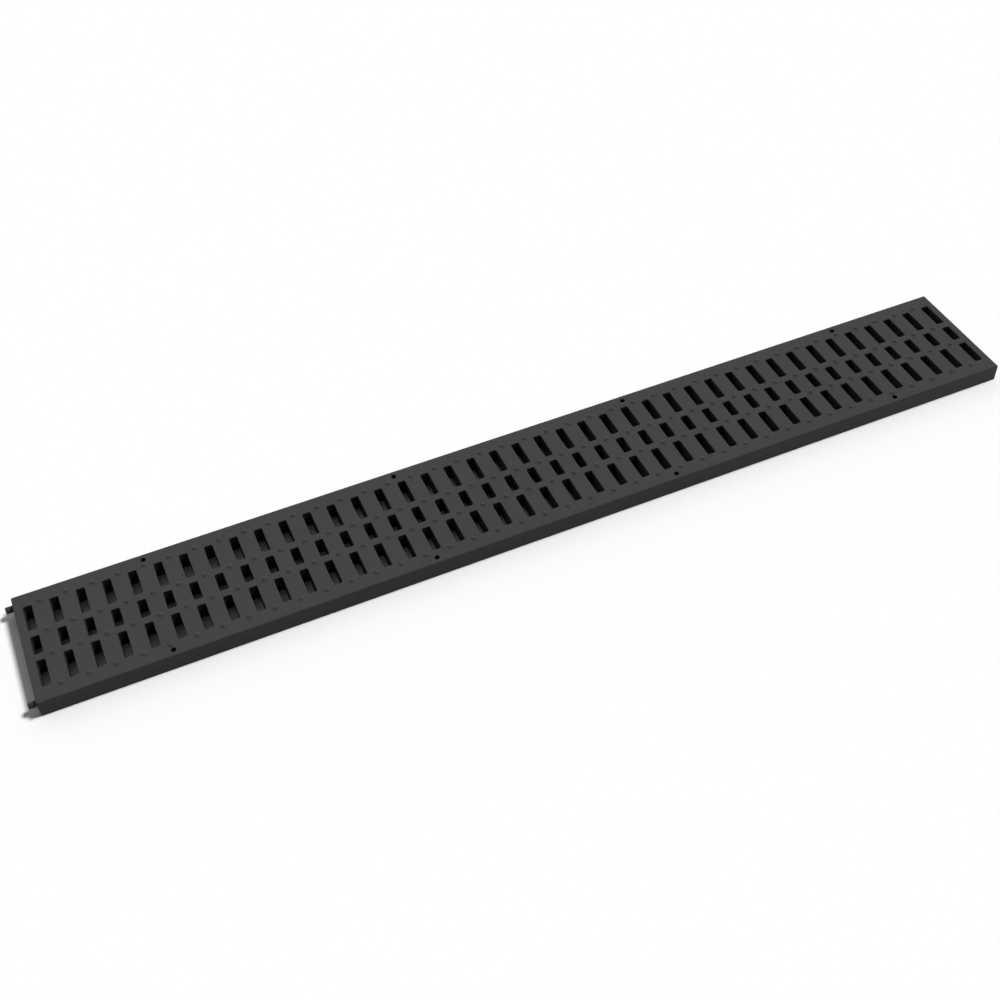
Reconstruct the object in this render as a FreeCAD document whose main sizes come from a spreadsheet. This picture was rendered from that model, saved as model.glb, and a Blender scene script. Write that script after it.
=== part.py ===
import FreeCAD, Part
import math
import os
import Sketcher

# Moulded channel drain grate: one piece, hollow underneath, +Z up, seat on Z = 0.
# The plate runs along X, and the pegs that hold the next grate in line point to -X.

# Driving dimensions in millimetres, with the counts of what repeats
SIZES = {
    # outside of the moulding
    "length": 1000.0,
    "width": 130.0,
    "height": 18.0,
    "corner_radius": 1.5,
    "edge_round": 1.2,
    # drain slots, in columns across the grate
    "columns": 41,
    "slot_width": 8.3,
    "slot_ease": 1.0,
    "middle_slot": 21.0,
    "outer_slot": 30.0,
    "bar_width": 8.0,
    # walls seen from below
    "plate": 3.5,
    "skirt": 3.0,
    "rib": 2.6,
    # screw holes and their bosses, in a row along each side
    "hole_radius": 2.5,
    "boss_radius": 5.0,
    "hole_margin": 7.0,
    "hole_from_end": 122.75,
    "holes": 4,
    # pegs on one end, and notches for the next grate's pegs on the other
    "peg_radius": 3.2,
    "peg_length": 7.5,
    "peg_ease": 0.8,
    "peg_margin": 7.0,
    "peg_drop": 7.5,
    "peg_clearance": 0.3,
}

# Places worked out from the driving dimensions
PITCH = "sizes.length / sizes.columns"
FIRST_COLUMN = f"(sizes.length - {PITCH}) / 2"
FIRST_WEB = f"(sizes.length / 2 - {PITCH})"
FIRST_GUSSET = f"(sizes.length / 2 - 1.5 * {PITCH})"
HOLE_LINE = "sizes.width / 2 - sizes.hole_margin"
FIRST_HOLE = "sizes.length / 2 - sizes.hole_from_end"
HOLE_SPACING = "(sizes.length - 2 * sizes.hole_from_end) / (sizes.holes - 1)"
HALF_POCKET = f"(({PITCH} - sizes.slot_width) / 2 - sizes.rib)"
MIDDLE_END = "sizes.middle_slot / 2"
OUTER_START = f"({MIDDLE_END} + sizes.bar_width)"
OUTER_END = f"({OUTER_START} + sizes.outer_slot)"
GUTTER_START = f"({OUTER_END} + sizes.rib)"
GUTTER_END = "(sizes.width / 2 - sizes.skirt)"
UNDER_PLATE = "sizes.height - sizes.plate"
PEG_LINE = "sizes.width / 2 - sizes.peg_margin"
PEG_HEIGHT = "sizes.height - sizes.peg_drop"

# Sketch point numbers, and the distance below which two places are the same
ORIGIN_POINT = (-1, 1)
X_AXIS = -1
START, END, CENTRE = 1, 2, 3
NEAR = 0.01

doc = FreeCAD.newDocument("drain_grate")
sheet = doc.addObject("Spreadsheet::Sheet", "sizes")
for row, (alias, value) in enumerate(SIZES.items(), start=1):
    sheet.set(f"A{row}", alias)
    sheet.set(f"B{row}", str(value))
    sheet.setAlias(f"B{row}", alias)
doc.recompute()

body = doc.addObject("PartDesign::Body", "grate")
body.Label = "grate"
# the pegs count in the overall length, so the whole is centred over the seat
body.setExpression("Placement.Base.x", "sizes.peg_length / 2")


def origin_feature(role):
    return next(f for f in body.Origin.OriginFeatures if f.Role == role)


def new_sketch(name, role, offset=None):
    """A sketch on one of the body's origin planes, moved along that plane's normal by offset."""
    sketch = body.newObject("Sketcher::SketchObject", name)
    sketch.AttachmentSupport = [(origin_feature(role), "")]
    sketch.MapMode = "FlatFace"
    if offset:
        sketch.setExpression("AttachmentOffset.Base.z", offset)
    return sketch


def bind(sketch, constraint, expression):
    index = sketch.addConstraint(constraint)
    sketch.setExpression(f"Constraints[{index}]", expression)


def place(sketch, point, axis, sign, expression):
    """Holds a point of the sketch at sign times expression from the sketch's origin."""
    ends = (ORIGIN_POINT, point) if sign > 0 else (point, ORIGIN_POINT)
    bind(sketch, Sketcher.Constraint(f"Distance{axis}", *ends[0], *ends[1], 1.0), expression)


def rectangle(sketch, left, right, low, high):
    """A rectangle whose four sides lie at (sign, expression) from the sketch's origin."""
    corners = [FreeCAD.Vector(x, y, 0) for x, y in ((0, 0), (1, 0), (1, 1), (0, 1))]
    sides = [Part.LineSegment(a, b) for a, b in zip(corners, corners[1:] + corners[:1])]
    bottom, side, top, other = sketch.addGeometry(sides, False)
    for first, second in ((bottom, side), (side, top), (top, other), (other, bottom)):
        sketch.addConstraint(Sketcher.Constraint("Coincident", first, END, second, START))
    for line in (bottom, top):
        sketch.addConstraint(Sketcher.Constraint("Horizontal", line))
    for line in (side, other):
        sketch.addConstraint(Sketcher.Constraint("Vertical", line))
    place(sketch, (bottom, START), "X", *left)
    place(sketch, (bottom, START), "Y", *low)
    place(sketch, (side, END), "X", *right)
    place(sketch, (side, END), "Y", *high)


def eased_rectangle(sketch, left, right, low, high, ease):
    """A rectangle whose corners are cut off at 45 degrees, ease from each end of a side."""
    points = ((1, 0), (2, 0), (3, 1), (3, 2), (2, 3), (1, 3), (0, 2), (0, 1))
    points = [FreeCAD.Vector(x, y, 0) for x, y in points]
    lines = [Part.LineSegment(a, b) for a, b in zip(points, points[1:] + points[:1])]
    lines = sketch.addGeometry(lines, False)
    for line, following in zip(lines, lines[1:] + lines[:1]):
        sketch.addConstraint(Sketcher.Constraint("Coincident", line, END, following, START))
    bottom, low_right, side, top_right, top, top_left, other, low_left = lines
    for line in (bottom, top):
        sketch.addConstraint(Sketcher.Constraint("Horizontal", line))
    for line in (side, other):
        sketch.addConstraint(Sketcher.Constraint("Vertical", line))
    rises = {low_right: (1, 1), top_right: (-1, 1), top_left: (-1, -1), low_left: (1, -1)}
    for line, signs in rises.items():
        for axis, sign in zip("XY", signs):
            ends = (line, START, line, END) if sign > 0 else (line, END, line, START)
            bind(sketch, Sketcher.Constraint(f"Distance{axis}", *ends, 1.0), ease)
    place(sketch, (other, START), "X", *left)
    place(sketch, (side, START), "X", *right)
    place(sketch, (bottom, START), "Y", *low)
    place(sketch, (top, START), "Y", *high)


def circle(sketch, x, y, radius):
    index = sketch.addGeometry(Part.Circle(FreeCAD.Vector(0, 0, 0), FreeCAD.Vector(0, 0, 1), 1), False)
    bind(sketch, Sketcher.Constraint("Radius", index, 1.0), radius)
    place(sketch, (index, CENTRE), "X", *x)
    place(sketch, (index, CENTRE), "Y", *y)


def slot_rows(sketch, centre, half_width, ease=None):
    """Three outlines in a column, one for each row of slots, centred at -centre along the length."""
    left = (-1, f"{centre} + {half_width}")
    right = (-1, f"{centre} - {half_width}")
    rows = (
        ((-1, MIDDLE_END), (1, MIDDLE_END)),
        ((1, OUTER_START), (1, OUTER_END)),
        ((-1, OUTER_END), (-1, OUTER_START)),
    )
    for low, high in rows:
        if ease:
            eased_rectangle(sketch, left, right, low, high, ease)
        else:
            rectangle(sketch, left, right, low, high)


def gutter_pair(sketch, left, right):
    """A rectangle across the gutter inside each long side."""
    rectangle(sketch, left, right, (1, GUTTER_START), (1, GUTTER_END))
    rectangle(sketch, left, right, (-1, GUTTER_END), (-1, GUTTER_START))


def finish(feature, adds):
    """Makes a feature the body's tip, and sees that it added or took material as meant."""
    before = 0.0 if body.Shape.isNull() else body.Shape.Volume
    doc.recompute()
    body.Tip = feature
    doc.recompute()
    change = body.Shape.Volume - before
    if change * (1 if adds else -1) <= 0:
        raise RuntimeError(f"{feature.Name} changed the volume by {change:.1f}")
    return feature


def pad(name, sketch, length, reverse=False):
    feature = body.newObject("PartDesign::Pad", name)
    feature.Profile = sketch
    feature.Reversed = reverse
    feature.setExpression("Length", length)
    return finish(feature, adds=True)


def pocket(name, sketch, length=None, reverse=False):
    """A pocket of the given depth, or through everything."""
    feature = body.newObject("PartDesign::Pocket", name)
    feature.Profile = sketch
    feature.Reversed = reverse
    if length:
        feature.setExpression("Length", length)
    else:
        feature.Type = "ThroughAll"
    return finish(feature, adds=False)


def repeat(name, original, spacing, count, adds):
    """Repeats a feature along the grate's length. The copies lie apart, so no faces need merging."""
    feature = body.newObject("PartDesign::LinearPattern", name)
    feature.Refine = False
    feature.Originals = [original]
    feature.Direction = (origin_feature("X_Axis"), [""])
    feature.Mode = "Spacing"
    feature.setExpression("Offset", spacing)
    feature.setExpression("Occurrences", count)
    return finish(feature, adds)


def ease(kind, name, base, size_name, size, chosen):
    """Fillets or chamfers the edges of the base feature that chosen picks."""
    edges = [f"Edge{n}" for n, edge in enumerate(base.Shape.Edges, start=1) if chosen(edge)]
    feature = body.newObject(f"PartDesign::{kind}", name)
    feature.Base = (base, edges)
    feature.setExpression(size_name, size)
    return finish(feature, adds=False)


def is_upright(edge):
    start, end = edge.Vertexes[0].Point, edge.Vertexes[-1].Point
    return math.hypot(end.x - start.x, end.y - start.y) < NEAR and abs(end.z - start.z) > NEAR


def lies_at(axis, place_along):
    """A test for edges that lie wholly at one coordinate."""
    return lambda edge: all(abs(getattr(v.Point, axis) - place_along) < NEAR for v in edge.Vertexes)


# Outer block with rounded corners and a rounded top edge
outline = new_sketch("outline", "XY_Plane")
rectangle(
    outline,
    (-1, "sizes.length / 2"),
    (1, "sizes.length / 2"),
    (-1, "sizes.width / 2"),
    (1, "sizes.width / 2"),
)
block = pad("block", outline, "sizes.height")
corners = ease("Fillet", "corners", block, "Radius", "sizes.corner_radius", is_upright)
ease("Fillet", "top_edge", corners, "Radius", "sizes.edge_round", lies_at("z", SIZES["height"]))

# A gutter inside each long side, crossed by gussets
gutter_sketch = new_sketch("gutter_sketch", "XY_Plane")
inner_end = "sizes.length / 2 - sizes.skirt"
gutter_pair(gutter_sketch, (-1, inner_end), (1, inner_end))
pocket("gutters", gutter_sketch, UNDER_PLATE, reverse=True)

gusset_sketch = new_sketch("gusset_sketch", "XY_Plane")
gutter_pair(
    gusset_sketch,
    (-1, f"{FIRST_GUSSET} + sizes.rib / 2"),
    (-1, f"{FIRST_GUSSET} - sizes.rib / 2"),
)
gusset_pair = pad("gusset_pair", gusset_sketch, UNDER_PLATE)
repeat("gussets", gusset_pair, f"2 * {PITCH}", "(sizes.columns - 1) / 2", adds=True)

# Screw bosses in the gutters, and the holes through them
boss_sketch = new_sketch("boss_sketch", "XY_Plane")
hole_sketch = new_sketch("hole_sketch", "XY_Plane")
for sign in (-1, 1):
    circle(boss_sketch, (-1, FIRST_HOLE), (sign, HOLE_LINE), "sizes.boss_radius")
    circle(hole_sketch, (-1, FIRST_HOLE), (sign, HOLE_LINE), "sizes.hole_radius")
boss_pair = pad("boss_pair", boss_sketch, UNDER_PLATE)
repeat("bosses", boss_pair, HOLE_SPACING, "sizes.holes", adds=True)
hole_pair = pocket("hole_pair", hole_sketch, reverse=True)
repeat("holes", hole_pair, HOLE_SPACING, "sizes.holes", adds=False)

# Two pegs on the -X end
peg_sketch = new_sketch("peg_sketch", "YZ_Plane", "-sizes.length / 2")
for sign in (-1, 1):
    circle(peg_sketch, (sign, PEG_LINE), (1, PEG_HEIGHT), "sizes.peg_radius")
pegs = pad("pegs", peg_sketch, "sizes.peg_length", reverse=True)
peg_tip = -SIZES["length"] / 2 - SIZES["peg_length"]
ease("Chamfer", "peg_tips", pegs, "Size", "sizes.peg_ease", lies_at("x", peg_tip))

# Two notches in the +X end, open downwards, that drop over the next grate's pegs
notch_sketch = new_sketch("notch_sketch", "YZ_Plane", "sizes.length / 2")
notch_height = SIZES["height"] - SIZES["peg_drop"]
notch_half = SIZES["peg_radius"] + SIZES["peg_clearance"]
notch_line = SIZES["width"] / 2 - SIZES["peg_margin"]
for sign in (-1, 1):
    middle = FreeCAD.Vector(sign * notch_line, notch_height, 0)
    crown = Part.Circle(middle, FreeCAD.Vector(0, 0, 1), notch_half)
    right, left = middle.x + notch_half, middle.x - notch_half
    foot_right, foot_left = FreeCAD.Vector(right, 0, 0), FreeCAD.Vector(left, 0, 0)
    arc, fall, foot, rise = notch_sketch.addGeometry(
        [
            Part.ArcOfCircle(crown, 0, math.pi),
            Part.LineSegment(FreeCAD.Vector(left, notch_height, 0), foot_left),
            Part.LineSegment(foot_left, foot_right),
            Part.LineSegment(foot_right, FreeCAD.Vector(right, notch_height, 0)),
        ],
        False,
    )
    for first, second in ((arc, fall), (rise, arc)):
        notch_sketch.addConstraint(Sketcher.Constraint("Tangent", first, END, second, START))
    for first, second in ((fall, foot), (foot, rise)):
        notch_sketch.addConstraint(Sketcher.Constraint("Coincident", first, END, second, START))
    for line in (fall, rise):
        notch_sketch.addConstraint(Sketcher.Constraint("Vertical", line))
    notch_sketch.addConstraint(Sketcher.Constraint("PointOnObject", foot, START, X_AXIS))
    notch_sketch.addConstraint(Sketcher.Constraint("Horizontal", foot))
    bind(
        notch_sketch,
        Sketcher.Constraint("Radius", arc, notch_half),
        "sizes.peg_radius + sizes.peg_clearance",
    )
    place(notch_sketch, (arc, CENTRE), "X", sign, PEG_LINE)
    place(notch_sketch, (arc, CENTRE), "Y", 1, PEG_HEIGHT)
pocket("notches", notch_sketch, "sizes.skirt")

# Hollow webs: a pocket from below between each pair of columns, leaving a rib beside each slot
web_sketch = new_sketch("web_sketch", "XY_Plane")
slot_rows(web_sketch, FIRST_WEB, HALF_POCKET)
web_pockets = pocket("web_pockets", web_sketch, UNDER_PLATE, reverse=True)
repeat("webs", web_pockets, PITCH, "sizes.columns - 1", adds=False)

# Drain slots, with the corners eased
slot_sketch = new_sketch("slot_sketch", "XY_Plane")
slot_rows(slot_sketch, FIRST_COLUMN, "sizes.slot_width / 2", "sizes.slot_ease")
slot_column = pocket("slot_column", slot_sketch, reverse=True)
repeat("slots", slot_column, PITCH, "sizes.columns", adds=False)

failed = [o.Name for o in doc.Objects if "Invalid" in o.State or "Error" in o.State]
if failed:
    raise RuntimeError(f"failed objects: {failed}")
if body.Shape.isNull() or not body.Shape.isValid() or len(body.Shape.Solids) != 1:
    raise RuntimeError("the grate isn't one valid solid")

os.makedirs("parts", exist_ok=True)
body.Shape.exportStep(f"parts/{body.Label}.step")
print(f"{body.Label}: {body.Shape.Volume / 1000:.1f} cm3, {len(body.Shape.Faces)} faces")
print(body.Shape.BoundBox)
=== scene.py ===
# %% [markdown]
# A channel drain grate: one long plastic moulding with three rows of slots, hollow underneath.
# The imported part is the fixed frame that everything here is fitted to. It is loaded first, and
# its box is kept, because the finished look has to stay the size of the solid.

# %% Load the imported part
import math

import bmesh
import bpy
from mathutils import Matrix, Vector


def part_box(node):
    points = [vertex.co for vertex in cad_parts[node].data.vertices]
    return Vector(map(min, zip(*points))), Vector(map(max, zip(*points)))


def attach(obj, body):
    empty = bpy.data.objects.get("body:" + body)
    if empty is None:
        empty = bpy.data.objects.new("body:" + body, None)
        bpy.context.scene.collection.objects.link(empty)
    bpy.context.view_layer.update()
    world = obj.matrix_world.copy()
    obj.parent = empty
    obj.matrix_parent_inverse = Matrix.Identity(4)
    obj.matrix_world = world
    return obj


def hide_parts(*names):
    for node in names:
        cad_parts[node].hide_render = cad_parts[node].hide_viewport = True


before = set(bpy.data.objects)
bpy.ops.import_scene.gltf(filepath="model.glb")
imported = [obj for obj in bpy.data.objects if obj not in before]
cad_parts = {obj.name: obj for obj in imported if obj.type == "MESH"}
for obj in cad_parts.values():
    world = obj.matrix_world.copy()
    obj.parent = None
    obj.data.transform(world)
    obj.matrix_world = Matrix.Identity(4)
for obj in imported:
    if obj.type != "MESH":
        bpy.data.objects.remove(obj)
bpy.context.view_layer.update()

grate_low, grate_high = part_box("grate")

# %% [markdown]
# Sizes come first, in millimetres, as they would stand on the maker's drawing. The overall
# length, width and height are read from the frame, so they can't drift from the solid. Across the
# grate lie slot, bar, slot, bar, slot, and then a hollow gutter and a thin skirt along each side.

# %% Sizes of the moulding
MM = 0.001
PEG_LENGTH = 7.5
LENGTH = round((grate_high[0] - grate_low[0]) / MM - PEG_LENGTH, 2)
WIDTH = round((grate_high[1] - grate_low[1]) / MM, 2)
HEIGHT = round((grate_high[2] - grate_low[2]) / MM, 2)

COLUMNS = 41
PITCH = LENGTH / COLUMNS
SLOT_WIDTH = 8.3
MIDDLE_SLOT = 21.0
OUTER_SLOT = 30.0
BAR = 8.0
PLATE = 3.5
SKIRT = 3.0
RIB = 2.6

HALF_SLOT = SLOT_WIDTH / 2
MIDDLE_END = MIDDLE_SLOT / 2
OUTER_START = MIDDLE_END + BAR
OUTER_END = OUTER_START + OUTER_SLOT
GUTTER_START = OUTER_END + RIB
GUTTER_END = WIDTH / 2 - SKIRT
UNDER_PLATE = HEIGHT - PLATE
print(f"moulding {LENGTH} x {WIDTH} x {HEIGHT} mm, slots every {PITCH:.2f} mm")

# %% [markdown]
# The plate starts as a flat sheet, cut by straight lines wherever a slot, rib or wall begins.
# Cutting with bisect_plane keeps one connected mesh of rectangles, so each later step only has to
# pick rectangles by where their middles lie. Cutting the slots with booleans would also work, but
# it leaves long thin faces between them.

# %% Cut the sheet
COLUMN_CENTRES = [(column - (COLUMNS - 1) / 2) * PITCH for column in range(COLUMNS)]
GUSSET_CENTRES = COLUMN_CENTRES[1::2]
ALONG = Vector((1, 0, 0))
ACROSS = Vector((0, 1, 0))
NEAR = 1e-3


def both_sides(places):
    return [sign * place for place in places for sign in (-1, 1)]


def everything(bm):
    return bm.verts[:] + bm.edges[:] + bm.faces[:]


def cut_sheet(bm, normal, places):
    """Cuts the whole mesh by planes square to the normal."""
    for place in places:
        at = normal * place
        bmesh.ops.bisect_plane(bm, geom=everything(bm), plane_co=at, plane_no=normal, dist=NEAR)


moulding = bmesh.new()
bmesh.ops.create_grid(moulding, x_segments=1, y_segments=1, size=1 / 2)
bmesh.ops.scale(moulding, vec=(LENGTH, WIDTH, 1), verts=moulding.verts)
for centre in COLUMN_CENTRES:
    slot_and_ribs = both_sides([HALF_SLOT, HALF_SLOT + RIB])
    cut_sheet(moulding, ALONG, [centre + edge for edge in slot_and_ribs])
for centre in GUSSET_CENTRES:
    cut_sheet(moulding, ALONG, [centre + edge for edge in both_sides([RIB / 2])])
row_edges = [MIDDLE_END, OUTER_START, OUTER_END, GUTTER_START, GUTTER_END]
cut_sheet(moulding, ALONG, both_sides([LENGTH / 2 - SKIRT]))
cut_sheet(moulding, ACROSS, both_sides(row_edges))
print("sheet of", len(moulding.faces), "rectangles")

# %% [markdown]
# Which rectangles are what: a slot lies on a column, in one of the three rows. Seen from below,
# the grate is hollow between two columns of slots, where only ribs are left, and in the gutters
# along both sides, which short gussets cross.

# %% Tell slots, walls and hollows apart


def from_column(x):
    """Distance along the grate to the nearest column of slots."""
    return abs(x - PITCH * round(x / PITCH))


def in_row(y):
    return abs(y) < MIDDLE_END or OUTER_START < abs(y) < OUTER_END


def is_slot(face):
    spot = face.calc_center_median()
    return in_row(spot.y) and from_column(spot.x) < HALF_SLOT


def is_hollow(face):
    spot = face.calc_center_median()
    beside_slot = from_column(spot.x) < HALF_SLOT + RIB
    between_slots = not beside_slot and abs(spot.x) < (LENGTH - PITCH) / 2
    in_gutter = GUTTER_START < abs(spot.y) < GUTTER_END and abs(spot.x) < LENGTH / 2 - SKIRT
    at_gusset = any(abs(spot.x - centre) < RIB / 2 for centre in GUSSET_CENTRES)
    return in_row(spot.y) and between_slots or in_gutter and not at_gusset


slots = [face for face in moulding.faces if is_slot(face)]
hollows = [face for face in moulding.faces if is_hollow(face)]
print(len(slots), "rectangles lie in slots and", len(hollows), "over hollows")

# %% [markdown]
# Now the sheet becomes a hollow moulding. The slots are deleted, the rest is extruded up into the
# plate, and the rectangles that carry walls are extruded down to the seat. Extruding part of a
# closed mesh leaves the faces it started from inside the wall, so those are deleted. The plate's
# sides and the walls below them are flush, so the line between them is dissolved.

# %% Open the slots and raise the walls
# a face is level where its normal points up or down by more than this
LEVEL_NORMAL = 0.5


def extrude(bm, geometry, rise):
    made = bmesh.ops.extrude_face_region(bm, geom=geometry)
    moved = [item for item in made["geom"] if isinstance(item, bmesh.types.BMVert)]
    bmesh.ops.translate(bm, vec=(0, 0, rise), verts=moved)


def at_height(edge, height):
    return all(abs(vert.co.z - height) < NEAR for vert in edge.verts)


def is_flush(edge):
    return edge.calc_face_angle() < NEAR and abs(edge.link_faces[0].normal.z) < LEVEL_NORMAL


bmesh.ops.delete(moulding, geom=slots, context="FACES")
bmesh.ops.translate(moulding, vec=(0, 0, UNDER_PLATE), verts=moulding.verts)
extrude(moulding, everything(moulding), PLATE)
bmesh.ops.recalc_face_normals(moulding, faces=moulding.faces)

underside = [face for face in moulding.faces if face.normal.z < -LEVEL_NORMAL]
walls = [face for face in underside if not is_hollow(face)]
extrude(moulding, walls, -UNDER_PLATE)
bmesh.ops.delete(moulding, geom=walls, context="FACES")
bmesh.ops.recalc_face_normals(moulding, faces=moulding.faces)

flush = [edge for edge in moulding.edges if at_height(edge, UNDER_PLATE) and is_flush(edge)]
bmesh.ops.dissolve_edges(moulding, edges=flush, use_verts=True)
open_edges = sum(not edge.is_manifold for edge in moulding.edges)
print("hollow moulding of", len(moulding.faces), "faces with", open_edges, "open edges")

# %% [markdown]
# A moulding has no knife edges: every rim is rounded, so that it fills well and no edge chips. A
# Bevel modifier would round all edges alike, so bmesh bevels each kind by its own radius. The
# upright corners come first: the four outside ones, and four in each slot.

# %% Round the upright corners
CORNER_RADIUS = 1.5
SLOT_CORNER = 1.5


def round_edges(edges, radius, segments):
    bmesh.ops.bevel(
        moulding,
        geom=edges,
        offset=radius,
        offset_type="OFFSET",
        segments=segments,
        profile=0.5,
        affect="EDGES",
        material=-1,
        clamp_overlap=False,
    )


def is_upright(edge):
    start, end = edge.verts
    return (start.co - end.co).xy.length < NEAR


def at_outer_corner(edge):
    spot = edge.verts[0].co
    return abs(abs(spot.x) - LENGTH / 2) < NEAR and abs(abs(spot.y) - WIDTH / 2) < NEAR


def at_slot_corner(edge):
    spot = edge.verts[0].co
    at_end = any(abs(abs(spot.y) - end) < NEAR for end in (MIDDLE_END, OUTER_START, OUTER_END))
    return at_end and abs(from_column(spot.x) - HALF_SLOT) < NEAR


uprights = [edge for edge in moulding.edges if is_upright(edge)]
outer_corners = [edge for edge in uprights if at_outer_corner(edge)]
slot_corners = [edge for edge in uprights if at_slot_corner(edge)]
round_edges(outer_corners, CORNER_RADIUS, segments=5)
round_edges(slot_corners, SLOT_CORNER, segments=4)
print("rounded", len(outer_corners), "outer corners and", len(slot_corners), "slot corners")

# %% [markdown]
# Then the rims, so that each rim's bevel runs round its corners as one band. The outer edge of
# the walking face is the softest. The slots have a finer rim, and the walls' feet only lose their
# edge.

# %% Round the rims
TOP_ROUND = 1.2
SLOT_RIM = 0.6
UNDER_RIM = 0.35
SHARP = math.radians(30)


def near_outside(edge):
    end = LENGTH / 2 - CORNER_RADIUS - NEAR
    side = WIDTH / 2 - CORNER_RADIUS - NEAR
    return all(abs(vert.co.x) > end or abs(vert.co.y) > side for vert in edge.verts)


def rims_at(height):
    level_edges = [edge for edge in moulding.edges if at_height(edge, height)]
    return [edge for edge in level_edges if edge.calc_face_angle() > SHARP]


top_rims = rims_at(HEIGHT)
outer_rims = [edge for edge in top_rims if near_outside(edge)]
slot_rims = [edge for edge in top_rims if not near_outside(edge)]
round_edges(outer_rims, TOP_ROUND, segments=3)
round_edges(slot_rims, SLOT_RIM, segments=2)
round_edges(rims_at(0), UNDER_RIM, segments=1)
print("rounded moulding of", len(moulding.faces), "faces")

# %% [markdown]
# The round details don't follow the sheet's straight cuts, so they are made as solids of their
# own and joined to the moulding or cut from it with the Boolean modifier. All but the notches are
# short profiles, spun about an axis. The grip pips come first: low domes on the bars and along
# both sides, on the lines half way between the columns. There are 160, so each has few faces.

# %% Spin the grip pips
PIP_RADIUS = 3.2
PIP_HEIGHT = 1.5
PIP_LINES = (14.5, 51.25)
PIP_SINK = 0.8
PIP_STEPS = 16
PIP_BANDS = 3
UP = Matrix.Identity(3)
FULL_TURN = 2 * math.pi
ORIGIN = Vector((0, 0, 0))


def spin_solid(bm, profile, place, steps, turn=UP):
    """Spins (radius, height) points about the upright axis, then turns and places the solid."""
    before = set(bm.verts)
    verts = [bm.verts.new((radius, 0, height)) for radius, height in profile]
    edges = [bm.edges.new(pair) for pair in zip(verts, verts[1:])]
    bmesh.ops.spin(
        bm,
        geom=verts + edges,
        axis=(0, 0, 1),
        cent=ORIGIN,
        angle=FULL_TURN,
        steps=steps,
        use_merge=True,
    )
    spun = [vert for vert in bm.verts if vert not in before]
    bmesh.ops.remove_doubles(bm, verts=spun, dist=NEAR)
    made = [vert for vert in bm.verts if vert not in before]
    bmesh.ops.rotate(bm, verts=made, cent=ORIGIN, matrix=turn)
    bmesh.ops.translate(bm, vec=place, verts=made)


def dome_profile(radius, height, sink, bands):
    """A stem that sinks into the plate, under a cap that is part of a sphere."""
    sphere = (radius**2 + height**2) / (2 * height)
    widest = math.asin(radius / sphere)
    cap = [widest * (1 - band / bands) for band in range(bands + 1)]
    points = [(sphere * math.sin(a), sphere * math.cos(a) - sphere + height) for a in cap]
    return [(0.0, -sink), (radius, -sink), *points]


additions = bmesh.new()
pip = dome_profile(PIP_RADIUS, PIP_HEIGHT, PIP_SINK, PIP_BANDS)
WEB_CENTRES = [(web - COLUMNS / 2) * PITCH for web in range(1, COLUMNS)]
PIP_PLACES = [(x, y, HEIGHT) for x in WEB_CENTRES for y in both_sides(PIP_LINES)]
for place in PIP_PLACES:
    spin_solid(additions, pip, place, PIP_STEPS)
print(len(PIP_PLACES), "pips of", len(additions.faces), "faces in all")

# %% [markdown]
# Eight screw bosses stand in the gutters and carry the screws' load down to the seat. Each
# reaches a little into the plate above, because a Boolean joins overlapping solids better than
# touching ones.

# %% Spin the screw bosses
BOSS_RADIUS = 5.0
HOLE_MARGIN = 7.0
HOLE_FROM_END = 122.75
HOLES = 4
BITE = 1.0
ROUND_STEPS = 24

HOLE_LINE = WIDTH / 2 - HOLE_MARGIN
hole_spacing = (LENGTH - 2 * HOLE_FROM_END) / (HOLES - 1)
hole_columns = [HOLE_FROM_END - LENGTH / 2 + number * hole_spacing for number in range(HOLES)]
HOLE_PLACES = [(x, y, 0) for x in hole_columns for y in both_sides([HOLE_LINE])]
boss = [
    (0, 0),
    (BOSS_RADIUS - UNDER_RIM, 0),
    (BOSS_RADIUS, UNDER_RIM),
    (BOSS_RADIUS, UNDER_PLATE + BITE),
    (0, UNDER_PLATE + BITE),
]
for place in HOLE_PLACES:
    spin_solid(additions, boss, place, ROUND_STEPS)
print(len(HOLE_PLACES), "bosses,", round(hole_spacing, 2), "mm apart")

# %% [markdown]
# Two pegs stand out of one end and hold the next grate in line. A peg is wider at its root, where
# it would break first, and eased at its tip to find its way. It is spun upright like the rest and
# then turned to point out of the end.

# %% Spin the pegs
PEG_RADIUS = 3.2
PEG_ROOT = 4.0
PEG_TIP = 2.4
PEG_FLARE = 1.2
PEG_EASE = 0.8
PEG_MARGIN = 7.0
PEG_DROP = 7.5
FLARE_BEND_OUT, FLARE_BEND_ALONG = 0.25, 0.4
TIP_BEND_IN, TIP_BEND_BACK = 0.3, 0.25
TO_THE_PEG_END = Matrix.Rotation(math.radians(-90), 3, "Y")

PEG_LINE = WIDTH / 2 - PEG_MARGIN
PEG_HEIGHT = HEIGHT - PEG_DROP
peg = [
    (0, -BITE),
    (PEG_ROOT, -BITE),
    (PEG_ROOT, 0),
    (PEG_RADIUS + FLARE_BEND_OUT, FLARE_BEND_ALONG),
    (PEG_RADIUS, PEG_FLARE),
    (PEG_RADIUS, PEG_LENGTH - PEG_EASE),
    (PEG_RADIUS - TIP_BEND_IN, PEG_LENGTH - TIP_BEND_BACK),
    (PEG_TIP, PEG_LENGTH),
    (0, PEG_LENGTH),
]
for y in both_sides([PEG_LINE]):
    root = (-LENGTH / 2, y, PEG_HEIGHT)
    spin_solid(additions, peg, root, ROUND_STEPS, turn=TO_THE_PEG_END)
bmesh.ops.recalc_face_normals(additions, faces=additions.faces)
print("pips, bosses and pegs of", len(additions.faces), "faces")

# %% [markdown]
# What is cut away comes next. The screw holes are spun like the bosses, each with a mouth that is
# eased, so that a screw finds its way in. A cutter runs on past both faces, so that it leaves no
# skin.

# %% Shape the screw holes
HOLE_RADIUS = 2.5
HOLE_EASE = 0.5
EASE_BEND = 0.15

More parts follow.
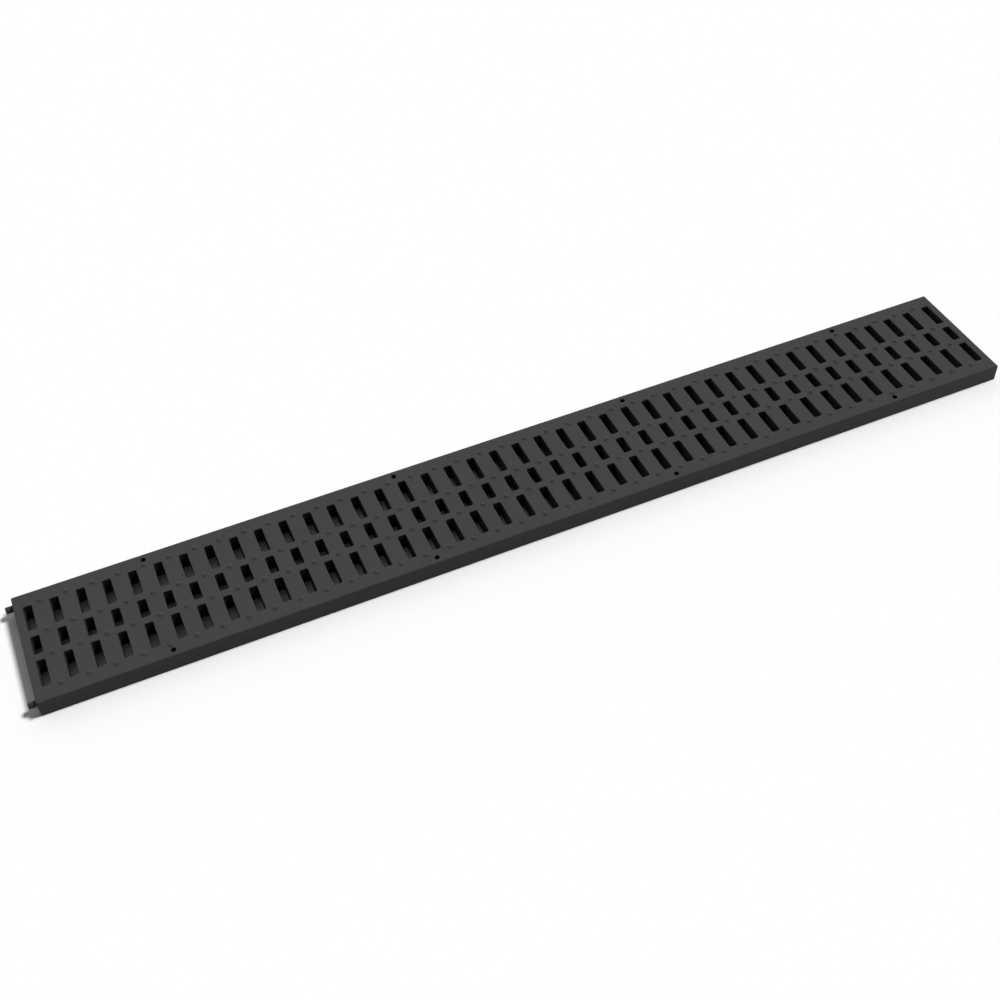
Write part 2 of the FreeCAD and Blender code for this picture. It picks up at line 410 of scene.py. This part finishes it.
cuts = bmesh.new()
hole = [
    (0, -BITE),
    (HOLE_RADIUS, -BITE),
    (HOLE_RADIUS, HEIGHT - HOLE_EASE),
    (HOLE_RADIUS + EASE_BEND, HEIGHT - EASE_BEND),
    (HOLE_RADIUS + HOLE_EASE, HEIGHT),
    (HOLE_RADIUS + HOLE_EASE, HEIGHT + BITE),
    (0, HEIGHT + BITE),
]
for place in HOLE_PLACES:
    spin_solid(cuts, hole, place, ROUND_STEPS)
print(len(HOLE_PLACES), "screw holes of", len(cuts.faces), "faces in all")

# %% [markdown]
# Then the two notches in the far end, which drop over the next grate's pegs. A notch starts as a
# flat disc. Its upper half stays, the cut edge is drawn down past the seat, and the arch that
# this gives is pushed through the end wall.

# %% Shape the notches
PEG_CLEARANCE = 0.3
NOTCH_RADIUS = PEG_RADIUS + PEG_CLEARANCE
FACING_ALONG = Matrix(((0, 0, 1), (1, 0, 0), (0, 1, 0)))


def make_arch():
    arch = bmesh.new()
    bmesh.ops.create_circle(arch, cap_ends=True, radius=NOTCH_RADIUS, segments=ROUND_STEPS)
    bmesh.ops.bisect_plane(
        arch, geom=everything(arch), plane_co=ORIGIN, plane_no=ACROSS, dist=NEAR, clear_inner=True
    )
    cut_edge = [edge for edge in arch.edges if all(abs(vert.co.y) < NEAR for vert in edge.verts)]
    drawn = bmesh.ops.extrude_edge_only(arch, edges=cut_edge)
    foot = [item for item in drawn["geom"] if isinstance(item, bmesh.types.BMVert)]
    bmesh.ops.translate(arch, vec=(0, -PEG_HEIGHT - BITE, 0), verts=foot)
    extrude(arch, everything(arch), SKIRT + 2 * BITE)
    bmesh.ops.rotate(arch, verts=arch.verts, cent=ORIGIN, matrix=FACING_ALONG)
    return arch


for y in both_sides([PEG_LINE]):
    arch = make_arch()
    inside_end = (LENGTH / 2 - SKIRT - BITE, y, PEG_HEIGHT)
    bmesh.ops.translate(arch, vec=inside_end, verts=arch.verts)
    arch_mesh = bpy.data.meshes.new("notch")
    arch.to_mesh(arch_mesh)
    arch.free()
    cuts.from_mesh(arch_mesh)
    bpy.data.meshes.remove(arch_mesh)
bmesh.ops.recalc_face_normals(cuts, faces=cuts.faces)
print("holes and notches of", len(cuts.faces), "faces")

# %% [markdown]
# The moulding goes into the scene, and the two sets of details are joined and cut. The Boolean
# modifier's result is read back as a new mesh, so nothing stays live.

# %% Join and cut


def add_object(name, bm):
    mesh = bpy.data.meshes.new(name)
    bm.to_mesh(mesh)
    bm.free()
    made = bpy.data.objects.new(name, mesh)
    bpy.context.collection.objects.link(made)
    return made


def combine(piece, other, operation):
    """Joins another object to the piece or cuts it away, and removes that object."""
    modifier = piece.modifiers.new(operation, "BOOLEAN")
    modifier.operation = operation
    modifier.solver = "EXACT"
    modifier.object = other
    evaluated = piece.evaluated_get(bpy.context.evaluated_depsgraph_get())
    result = bpy.data.meshes.new_from_object(evaluated)
    piece.modifiers.clear()
    piece.data = result
    bpy.data.objects.remove(other)


grate = add_object("grate_moulding", moulding)
combine(grate, add_object("additions", additions), "UNION")
combine(grate, add_object("cuts", cuts), "DIFFERENCE")
print("grate of", len(grate.data.polygons), "faces")

# %% [markdown]
# Where the bosses and their holes meet the straight lines of the moulding, the Boolean leaves
# pairs of points less than a thousandth of a millimetre apart. Merging them closes these hairline
# seams, and the count of open edges shows that the skin of the moulding is whole.

# %% Close the hairline seams
skin = bmesh.new()
skin.from_mesh(grate.data)
points = len(skin.verts)
bmesh.ops.remove_doubles(skin, verts=skin.verts, dist=NEAR)
open_edges = sum(not edge.is_manifold for edge in skin.edges)
print("merged", points - len(skin.verts), "points, leaving", open_edges, "open edges")
skin.to_mesh(grate.data)
skin.free()

# %% [markdown]
# The mesh is moved from millimetres about the plate's middle to metres in the frame, where the
# pegs count in the length. The object itself stays at the origin. Smooth shading with weighted
# normals keeps the flat faces flat and lets the light run round the narrow bevels.

# %% Place the grate in the frame
SMOOTH_BELOW = math.radians(50)

seat = Matrix.Translation((PEG_LENGTH / 2 * MM, 0, 0)) @ Matrix.Scale(MM, 4)
grate.data.transform(seat)
grate.data.polygons.foreach_set("use_smooth", [True] * len(grate.data.polygons))
grate.data.set_sharp_from_angle(angle=SMOOTH_BELOW)
weighted = grate.modifiers.new("flat faces stay flat", "WEIGHTED_NORMAL")
weighted.keep_sharp = True
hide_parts("grate")
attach(grate, "root")
print("triangles", sum(len(face.vertices) - 2 for face in grate.data.polygons))

# %% [markdown]
# The grate is ABS, moulded in a tool with a fine spark-eroded grain and coloured right through.
# To the eye that is an even, dull, dark grey with a soft sheen, slightly cloudy where the melt
# flowed. A flat colour would look like paint, so two noises carry the clouds and the grain. They
# read Object coordinates, so they stay put on the part from every side.

# %% Helpers for materials


def linear(hex_colour):
    """An sRGB hex colour as the linear RGBA that shaders take."""
    channels = [int(hex_colour[i : i + 2], 16) / 255 for i in (1, 3, 5)]
    return [c / 12.92 if c <= 0.04045 else ((c + 0.055) / 1.055) ** 2.4 for c in channels] + [1.0]


def add_node(tree, kind, settings=None, links=None):
    """Adds a node. A setting is a property or a socket, and sockets go by name or number."""
    node = tree.nodes.new(kind)
    for key, value in (settings or {}).items():
        if isinstance(key, str) and hasattr(node, key):
            setattr(node, key, value)
        else:
            node.inputs[key].default_value = value
    for key, output in (links or {}).items():
        tree.links.new(output, node.inputs[key])
    return node


def empty_tree(owner):
    owner.use_nodes = True
    owner.node_tree.nodes.clear()
    return owner.node_tree


DARKER_GREY, PALER_GREY = "#38393a", "#3d3e3f"
print("paler grey", PALER_GREY, "is", [round(channel, 4) for channel in linear(PALER_GREY)])

# %% [markdown]
# The clouds mix two close greys. One grain drives both the bump and the roughness, so that its
# high points are also the dullest and the skin never looks like a print on a smooth sheet. The
# IOR is that of ABS, and the level of the sheen is held down, because the grain breaks up
# reflections.

# %% Finish: moulded ABS
ABS_IOR = 1.53
SHEEN = 0.2
CLOUD_MM, CLOUD_DETAIL = 70.0, 3.0
# real grain is about 0.1 mm across, drawn coarser here so that it shows at arm's length
GRAIN_MM, GRAIN_DETAIL = 1.6, 2.0
GRAIN_DEPTH_MM = 0.25
SMOOTHEST, DULLEST = 0.44, 0.62
# the Mix node has sockets of one name for numbers and for colours, so these go by number
COLOUR_A, COLOUR_B, MIXED_COLOUR = 6, 7, 2

moulded_abs = bpy.data.materials.new("moulded_abs")
tree = empty_tree(moulded_abs)
spot = add_node(tree, "ShaderNodeTexCoord").outputs["Object"]
cloud = add_node(
    tree,
    "ShaderNodeTexNoise",
    {"Scale": 1 / (CLOUD_MM * MM), "Detail": CLOUD_DETAIL},
    {"Vector": spot},
).outputs["Fac"]
grain = add_node(
    tree,
    "ShaderNodeTexNoise",
    {"Scale": 1 / (GRAIN_MM * MM), "Detail": GRAIN_DETAIL},
    {"Vector": spot},
).outputs["Fac"]
tint = add_node(
    tree,
    "ShaderNodeMix",
    {"data_type": "RGBA", COLOUR_A: linear(DARKER_GREY), COLOUR_B: linear(PALER_GREY)},
    {"Factor": cloud},
)
dull = add_node(
    tree, "ShaderNodeMapRange", {"To Min": SMOOTHEST, "To Max": DULLEST}, {"Value": grain}
)
bump = add_node(tree, "ShaderNodeBump", {"Distance": GRAIN_DEPTH_MM * MM}, {"Height": grain})
surface = add_node(
    tree,
    "ShaderNodeBsdfPrincipled",
    {"IOR": ABS_IOR, "Specular IOR Level": SHEEN},
    {
        "Base Color": tint.outputs[MIXED_COLOUR],
        "Roughness": dull.outputs["Result"],
        "Normal": bump.outputs["Normal"],
    },
)
add_node(tree, "ShaderNodeOutputMaterial", links={"Surface": surface.outputs["BSDF"]})
grate.data.materials.clear()
grate.data.materials.append(moulded_abs)
print("finish", moulded_abs.name, "of", len(tree.nodes), "nodes")

# %% [markdown]
# A studio for a catalogue picture. The floor is plain and pale. It looks white to the camera and
# in anything that mirrors it, and sends a weaker light on to the grate, so that the plastic
# renders about as dark as its colour is written.

# %% Floor
FLOOR_SIZE = 30.0
FLOOR_COLOUR = "#fdfdfd"
FLOOR_BOUNCE = "#6c6c6c"


def white_to_the_eye(tree):
    """1 for camera, glossy and transmission rays, 0 for the light that lands on surfaces."""
    path = add_node(tree, "ShaderNodeLightPath").outputs
    mirrored = add_node(
        tree,
        "ShaderNodeMath",
        {"operation": "MAXIMUM"},
        {0: path["Is Glossy Ray"], 1: path["Is Transmission Ray"]},
    )
    links = {0: path["Is Camera Ray"], 1: mirrored.outputs[0]}
    return add_node(tree, "ShaderNodeMath", {"operation": "MAXIMUM"}, links).outputs[0]


floor_mesh = bmesh.new()
bmesh.ops.create_grid(floor_mesh, x_segments=1, y_segments=1, size=FLOOR_SIZE / 2)
floor = add_object("floor", floor_mesh)
pale_floor = bpy.data.materials.new("pale_floor")
tree = empty_tree(pale_floor)
seen = add_node(tree, "ShaderNodeBsdfDiffuse", {"Color": linear(FLOOR_COLOUR)})
bounce = add_node(tree, "ShaderNodeBsdfDiffuse", {"Color": linear(FLOOR_BOUNCE)})
mixed = add_node(
    tree,
    "ShaderNodeMixShader",
    links={"Fac": white_to_the_eye(tree), 1: bounce.outputs[0], 2: seen.outputs[0]},
)
add_node(tree, "ShaderNodeOutputMaterial", links={"Surface": mixed.outputs[0]})
floor.data.materials.append(pale_floor)
print("floor", FLOOR_SIZE, "m wide")

# %% [markdown]
# The sky is a soft light behind the grate, and dims towards the room behind the camera. That is
# what makes the walking face paler than the skirt and gives each pip a dark front. The camera
# itself sees white all round.

# %% Sky
SKY_LIGHT = 0.63
ROOM_LIGHT = 0.08
# how far back a direction points, from which the sky is full and below which it is dim
FULL_SKY_FROM, DIM_SKY_BELOW = 0.75, 0.0

sky = bpy.data.worlds.new("studio")
bpy.context.scene.world = sky
tree = empty_tree(sky)
direction = add_node(tree, "ShaderNodeTexCoord").outputs["Generated"]
backwards = add_node(tree, "ShaderNodeSeparateXYZ", links={"Vector": direction}).outputs["Y"]
room = add_node(
    tree,
    "ShaderNodeMapRange",
    {"From Min": DIM_SKY_BELOW, "From Max": FULL_SKY_FROM, "To Min": ROOM_LIGHT},
    {"Value": backwards},
).outputs["Result"]
camera_ray = add_node(tree, "ShaderNodeLightPath").outputs["Is Camera Ray"]
backdrop = add_node(tree, "ShaderNodeMath", {"operation": "MAXIMUM"}, {0: room, 1: camera_ray})
strength = add_node(
    tree, "ShaderNodeMapRange", {"To Min": SKY_LIGHT}, {"Value": white_to_the_eye(tree)}
)
background = add_node(
    tree,
    "ShaderNodeBackground",
    links={"Color": backdrop.outputs[0], "Strength": strength.outputs["Result"]},
)
add_node(tree, "ShaderNodeOutputWorld", links={"Surface": background.outputs[0]})
print("sky of", len(tree.nodes), "nodes")

# %% [markdown]
# One soft lamp does the rest. It leans over to the right far enough that it can't shine down
# through the slots, so they stay dark. It is kept out of reflections, where the sky already gives
# the sheen.

# %% Lamp
KEY_LIGHT = 3.05
TO_KEY = Vector((0.66, -0.02, 1.0))
OVERHEAD = Vector((0, 0, 1))
KEY_SOFTNESS = math.radians(14)

key_data = bpy.data.lights.new("key", "SUN")
key_data.energy = KEY_LIGHT
key_data.angle = KEY_SOFTNESS
key = bpy.data.objects.new("key", key_data)
key.rotation_euler = TO_KEY.to_track_quat("Z", "Y").to_euler()
key.visible_glossy = False
bpy.context.collection.objects.link(key)
print("lamp", round(math.degrees(TO_KEY.angle(OVERHEAD)), 1), "degrees from overhead")

# %% [markdown]
# The camera has the photograph's viewpoint: left of the middle, well above the grate, and
# slightly rolled. Its place, angles and lens were worked out from the slots' corners, for a
# square picture.

# %% Camera
CAMERA_PLACE_MM = Vector((-366.75, -865.3, 983.3))
AZIMUTH, ELEVATION, ROLL = (math.radians(angle) for angle in (-21.05, 46.7, -3.31))
LENS_MM = 49.55
SENSOR_MM = 36.0

camera_data = bpy.data.cameras.new("camera")
camera_data.lens = LENS_MM
camera_data.sensor_width = SENSOR_MM
camera = bpy.data.objects.new("camera", camera_data)
level = Vector((math.sin(AZIMUTH), -math.cos(AZIMUTH), 0))
to_camera = level * math.cos(ELEVATION) + OVERHEAD * math.sin(ELEVATION)
turned = to_camera.to_track_quat("Z", "Y").to_matrix() @ Matrix.Rotation(ROLL, 3, "Z")
camera.matrix_world = Matrix.Translation(CAMERA_PLACE_MM * MM) @ turned.to_4x4()
bpy.context.collection.objects.link(camera)
bpy.context.scene.camera = camera
bpy.context.scene.view_settings.view_transform = "Standard"
print("camera", round(camera.location.length, 3), "m from the origin")
